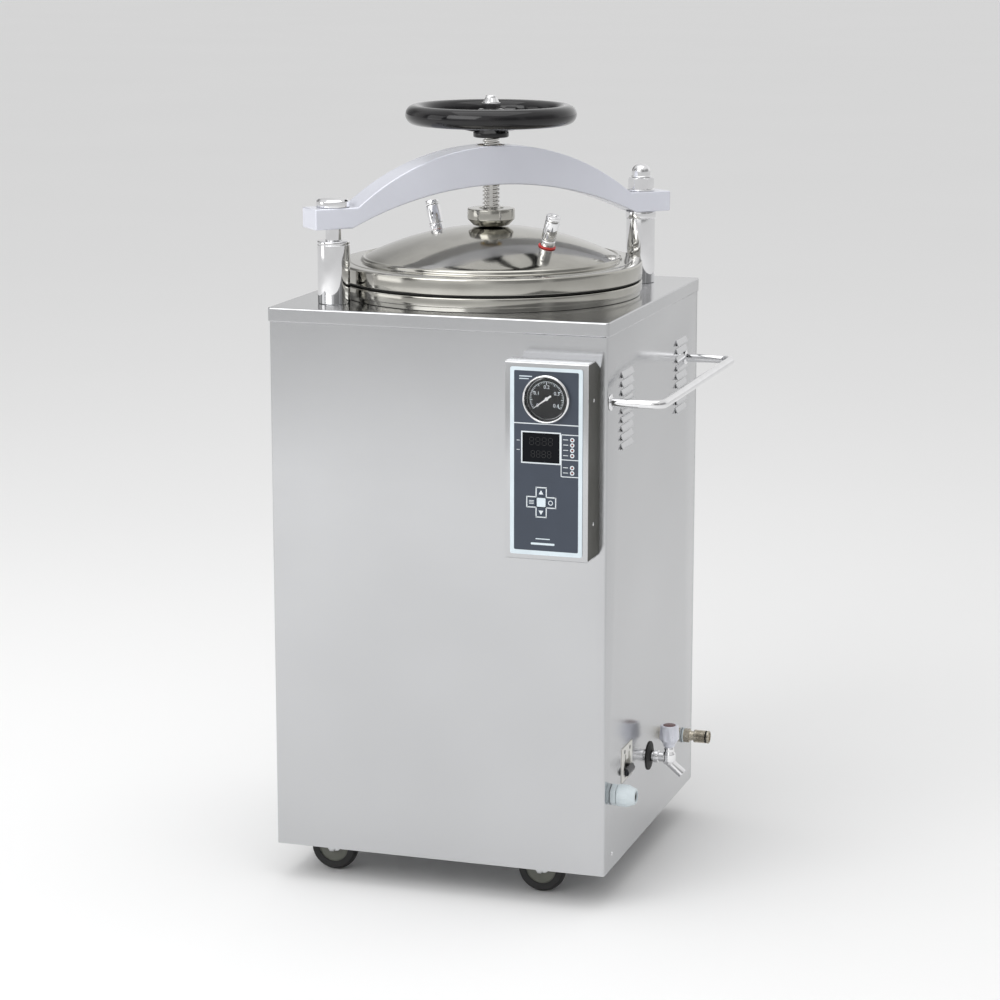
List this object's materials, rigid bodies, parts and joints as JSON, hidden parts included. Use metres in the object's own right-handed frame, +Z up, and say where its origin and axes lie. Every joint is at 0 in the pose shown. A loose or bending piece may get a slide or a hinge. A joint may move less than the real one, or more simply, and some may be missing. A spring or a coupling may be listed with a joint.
{
  "type": "vertical autoclave",
  "caption": "Floor-standing vertical autoclave: steam chamber in a square steel cabinet on castors, with a domed lid held by a handwheel screw in a swinging arched beam.",
  "frame": {"origin": "on the floor, at the middle of the plan's bounding box", "axes": "+Z up, -Y is the front with the control box, +X is the side with the push handle"},
  "size_m": [0.5118, 0.5016, 1.0003],
  "materials": {
    "satin_steel": "satin brushed stainless sheet",
    "mirror_steel": "mirror polished stainless steel",
    "chrome": "bright chrome plate",
    "nickel": "dull nickel plate",
    "silver_enamel": "smooth pale silver enamel",
    "black_gloss": "high gloss black",
    "black_rubber": "black rubber",
    "mineral_wool": "felted mineral wool",
    "heater_steel": "heat-tinted steel sheath",
    "brass": "machined",
    "copper": "drawn copper tube",
    "slate_membrane": "satin printed film",
    "dial_black": "matt black dial",
    "clear_glass": "clear flat glass",
    "needle_white": "white enamel",
    "key_navy": "satin moulded key",
    "white_nylon": "moulded nylon",
    "breaker_white": "moulded"
  },
  "bodies": {
    "cabinet": {"cabinet_shell": "satin_steel", "rear_panel": "satin_steel", "top_cover": "mirror_steel", "floor_tray": "satin_steel", "chamber": "mirror_steel", "lid_gasket": "black_rubber", "insulation_jacket": "mineral_wool", "anchor_ring": "satin_steel", "heater": "heater_steel", "sieve_plate": "satin_steel", "drain_pipe": "copper", "left_sleeve": "chrome", "left_rod": "chrome", "right_sleeve": "chrome", "right_rod": "chrome", "pillar_washer": "chrome", "pillar_nut": "chrome", "pillar_cap": "chrome", "control_housing": "satin_steel", "membrane_panel": "slate_membrane", "gauge_case": "chrome", "gauge_dial": "dial_black", "gauge_glass": "clear_glass", "display_window": "black_gloss", "cable_gland": "white_nylon", "gland_cap": "white_nylon", "breaker_body": "breaker_white", "tap_escutcheon": "black_rubber", "tap_body": "chrome", "exhaust_coupler": "nickel", "side_handle": "chrome"},
    "beam": {"cross_beam": "silver_enamel", "threaded_bush": "brass"},
    "lid": {"lid": "mirror_steel", "thrust_collar": "mirror_steel", "safety_valve": "chrome", "vent_valve": "chrome"},
    "screw": {"screw": "mirror_steel", "handwheel": "black_gloss", "top_nut": "chrome"},
    "safety_cap": {"safety_valve_cap": "chrome"},
    "vent_cap": {"vent_valve_cap": "chrome"},
    "needle": {"gauge_needle": "needle_white"},
    "key_up": {"key_up": "key_navy"},
    "key_down": {"key_down": "key_navy"},
    "key_left": {"key_left": "key_navy"},
    "key_right": {"key_right": "key_navy"},
    "breaker_lever": {"breaker_lever": "black_gloss"},
    "tap_knob": {"tap_knob": "chrome"},
    "exhaust_sleeve": {"exhaust_sleeve": "nickel"},
    "basket": {"basket": "satin_steel"},
    "bail": {"basket_bail": "chrome"},
    "fork_front_left": {"castor_fork_front_left": "chrome"},
    "wheel_front_left": {"castor_wheel_front_left": "black_rubber"},
    "fork_front_right": {"castor_fork_front_right": "chrome"},
    "wheel_front_right": {"castor_wheel_front_right": "black_rubber"},
    "fork_rear_left": {"castor_fork_rear_left": "chrome"},
    "wheel_rear_left": {"castor_wheel_rear_left": "black_rubber"},
    "fork_rear_right": {"castor_fork_rear_right": "chrome"},
    "wheel_rear_right": {"castor_wheel_rear_right": "black_rubber"}
  },
  "joints": [
    {"name": "beam_swing", "type": "hinge", "parent": "cabinet", "child": "beam", "pos_m": [0.1229, 0.186, 0.842], "axis": [0, 0, 1], "range_deg": [0, 110]},
    {"name": "lid_lift", "type": "slide", "parent": "beam", "child": "lid", "axis": [0, 0, 1], "range_m": [0, 0.0251]},
    {"name": "screw_turn", "type": "hinge", "parent": "lid", "child": "screw", "pos_m": [-0.0341, 0.029, 0.947], "axis": [0, 0, 1], "range_deg": [0, 1800]},
    {"name": "safety_cap_lift", "type": "slide", "parent": "lid", "child": "safety_cap", "axis": [0.256, -0.1599, 0.9534], "range_m": [0, 0.003], "stiffness_N_per_m": 400},
    {"name": "vent_cap_lift", "type": "slide", "parent": "lid", "child": "vent_cap", "axis": [-0.256, 0.1599, 0.9534], "range_m": [0, 0.003], "stiffness_N_per_m": 400},
    {"name": "needle_turn", "type": "hinge", "parent": "cabinet", "child": "needle", "pos_m": [0.1254, -0.2448, 0.66], "axis": [0, 1, 0], "range_deg": [0, 250], "stiffness_Nm_per_rad": 0.0005},
    {"name": "key_up_press", "type": "slide", "parent": "cabinet", "child": "key_up", "axis": [0, 1, 0], "range_m": [0, 0.0008], "stiffness_N_per_m": 800},
    {"name": "key_down_press", "type": "slide", "parent": "cabinet", "child": "key_down", "axis": [0, 1, 0], "range_m": [0, 0.0008], "stiffness_N_per_m": 800},
    {"name": "key_left_press", "type": "slide", "parent": "cabinet", "child": "key_left", "axis": [0, 1, 0], "range_m": [0, 0.0008], "stiffness_N_per_m": 800},
    {"name": "key_right_press", "type": "slide", "parent": "cabinet", "child": "key_right", "axis": [0, 1, 0], "range_m": [0, 0.0008], "stiffness_N_per_m": 800},
    {"name": "breaker_switch", "type": "hinge", "parent": "cabinet", "child": "breaker_lever", "pos_m": [0.1814, -0.089, 0.162], "axis": [0, -1, 0], "range_deg": [0, 60]},
    {"name": "tap_turn", "type": "hinge", "parent": "cabinet", "child": "tap_knob", "pos_m": [0.2129, 0.023, 0.1593], "axis": [0, 0, 1], "range_deg": [0, 180]},
    {"name": "exhaust_sleeve_slide", "type": "slide", "parent": "cabinet", "child": "exhaust_sleeve", "axis": [-1, 0, 0], "range_m": [0, 0.003], "stiffness_N_per_m": 600},
    {"name": "basket_lift", "type": "slide", "parent": "cabinet", "child": "basket", "axis": [0, 0, 1], "range_m": [0, 0.15]},
    {"name": "bail_swing", "type": "hinge", "parent": "basket", "child": "bail", "pos_m": [-0.0341, 0.029, 0.5998], "axis": [1, 0, 0], "range_deg": [0, 90]},
    {"name": "castor_swivel_front_left", "type": "hinge", "parent": "cabinet", "child": "fork_front_left", "pos_m": [-0.1761, -0.133, 0.085], "axis": [0, 0, 1], "continuous": true},
    {"name": "wheel_spin_front_left", "type": "hinge", "parent": "fork_front_left", "child": "wheel_front_left", "pos_m": [-0.1961, -0.133, 0.0315], "axis": [0, 1, 0], "continuous": true},
    {"name": "castor_swivel_front_right", "type": "hinge", "parent": "cabinet", "child": "fork_front_right", "pos_m": [0.1079, -0.133, 0.085], "axis": [0, 0, 1], "continuous": true},
    {"name": "wheel_spin_front_right", "type": "hinge", "parent": "fork_front_right", "child": "wheel_front_right", "pos_m": [0.0879, -0.133, 0.0315], "axis": [0, 1, 0], "continuous": true},
    {"name": "castor_swivel_rear_left", "type": "hinge", "parent": "cabinet", "child": "fork_rear_left", "pos_m": [-0.1761, 0.191, 0.085], "axis": [0, 0, 1], "continuous": true},
    {"name": "wheel_spin_rear_left", "type": "hinge", "parent": "fork_rear_left", "child": "wheel_rear_left", "pos_m": [-0.1961, 0.191, 0.0315], "axis": [0, 1, 0], "continuous": true},
    {"name": "castor_swivel_rear_right", "type": "hinge", "parent": "cabinet", "child": "fork_rear_right", "pos_m": [0.1079, 0.191, 0.085], "axis": [0, 0, 1], "continuous": true},
    {"name": "wheel_spin_rear_right", "type": "hinge", "parent": "fork_rear_right", "child": "wheel_rear_right", "pos_m": [0.0879, 0.191, 0.0315], "axis": [0, 1, 0], "continuous": true}
  ],
  "couplings": [
    {"joint": "lid_lift", "follows": "screw_turn", "m_per_rad": 0.00079577}
  ]
}
